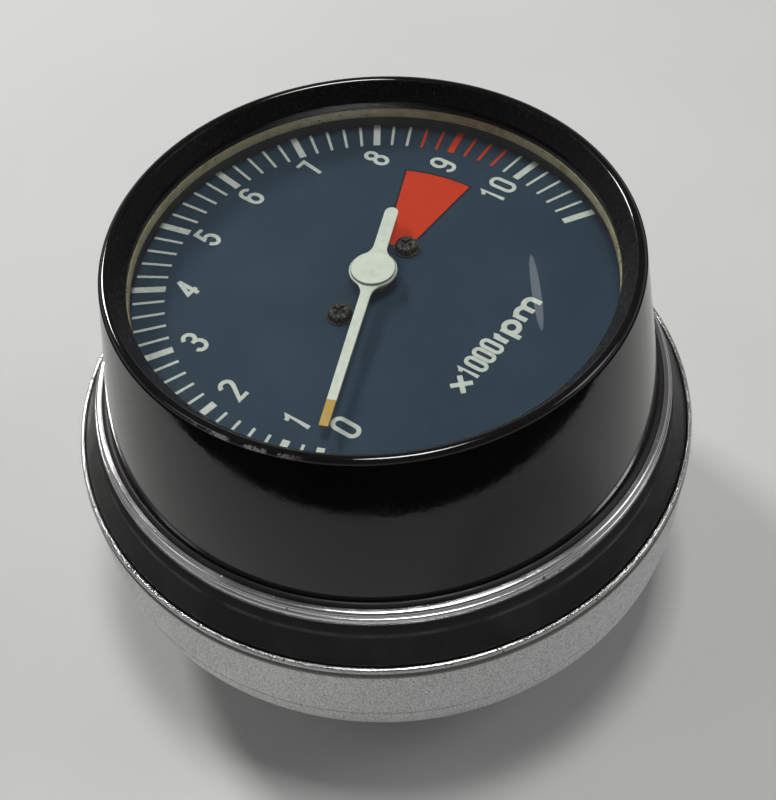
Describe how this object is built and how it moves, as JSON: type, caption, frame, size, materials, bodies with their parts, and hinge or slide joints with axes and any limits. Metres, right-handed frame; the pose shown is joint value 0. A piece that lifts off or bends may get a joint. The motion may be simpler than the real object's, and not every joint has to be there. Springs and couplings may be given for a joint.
{
  "type": "motorcycle tachometer",
  "caption": "Round drag-cup tachometer: black hood over a glazed dial with a pointer, chrome crimp ring, rubber cushion and chrome cup with rear studs and a threaded cable ferrule.",
  "frame": {"origin": "on the instrument's axis, in the plane that the studs and the ferrule stand on", "axes": "+Z along the instrument's axis, out of the dial; +Y towards 12 o'clock on the dial; +X towards 3 o'clock"},
  "size_m": [0.1164, 0.1164, 0.0796],
  "materials": {
    "hood_paint": "gloss black, chipped at the rim",
    "chrome": "polished",
    "cup_chrome": "hazy, pitted",
    "black_rubber": "matt, aged",
    "lens_glass": "clear",
    "light_ring": "yellowed white",
    "dial_paint": "satin blue-grey",
    "dial_print": "matt cream white",
    "red_print": "matt orange red",
    "pointer_paint": "matt cream white with an orange end",
    "pointer_cap": "satin pale grey",
    "black_steel": "blackened",
    "steel": "turned",
    "spring_steel": "blued",
    "brass": "turned",
    "bronze": "sintered",
    "aluminium": "spun",
    "cast_alloy": "as cast",
    "magnet": "ground",
    "white_paint": "satin white",
    "can_steel": "zinc plated",
    "lamp_plastic": "moulded",
    "bulb_glass": "clear"
  },
  "bodies": {
    "case": {"hood": "hood_paint", "lens": "lens_glass", "lens_gasket": "black_rubber", "light_ring": "light_ring", "dial_plate": "dial_paint", "scale_marks": "dial_print", "redline_marks": "red_print", "dial_screws": "black_steel", "hairspring": "spring_steel", "spring_stud": "brass", "stop_posts": "steel", "staff_bush": "brass", "upper_bridge": "cast_alloy", "bridge_screws": "steel", "flux_ring": "steel", "movement_frame": "cast_alloy", "frame_screws": "steel", "thrust_washer": "bronze", "upper_bush": "bronze", "lower_bush": "bronze", "cable_ferrule": "cast_alloy", "ferrule_grommet": "black_rubber", "reflector_pan": "white_paint", "rear_can": "can_steel", "case_seal": "black_rubber", "crimp_ring": "chrome", "cushion_ring": "black_rubber", "lower_cup": "cup_chrome", "mounting_studs": "steel", "stud_dampers": "black_rubber", "stud_washers": "steel", "stud_nuts": "steel", "lamp_holders": "lamp_plastic", "lamp_bulbs": "bulb_glass", "wire_grommet": "black_rubber"},
    "pointer": {"pointer_blade": "pointer_paint", "pointer_cap": "pointer_cap", "pointer_hub": "brass", "pointer_staff": "steel", "hair_collet": "brass", "drag_cup": "aluminium"},
    "drive": {"drive_spindle": "steel", "magnet_hub": "aluminium", "magnet": "magnet", "retaining_ring": "spring_steel"}
  },
  "joints": [
    {"name": "pointer_sweep", "type": "hinge", "parent": "case", "child": "pointer", "pos_m": [0, 0, 0.0716], "axis": [0, 0, -1], "range_deg": [0, 240], "stiffness_Nm_per_rad": 0.0002, "springref_deg": -8.59},
    {"name": "drive_spin", "type": "hinge", "parent": "case", "child": "drive", "pos_m": [0, 0, 0.03], "axis": [0, 0, 1], "continuous": true}
  ]
}
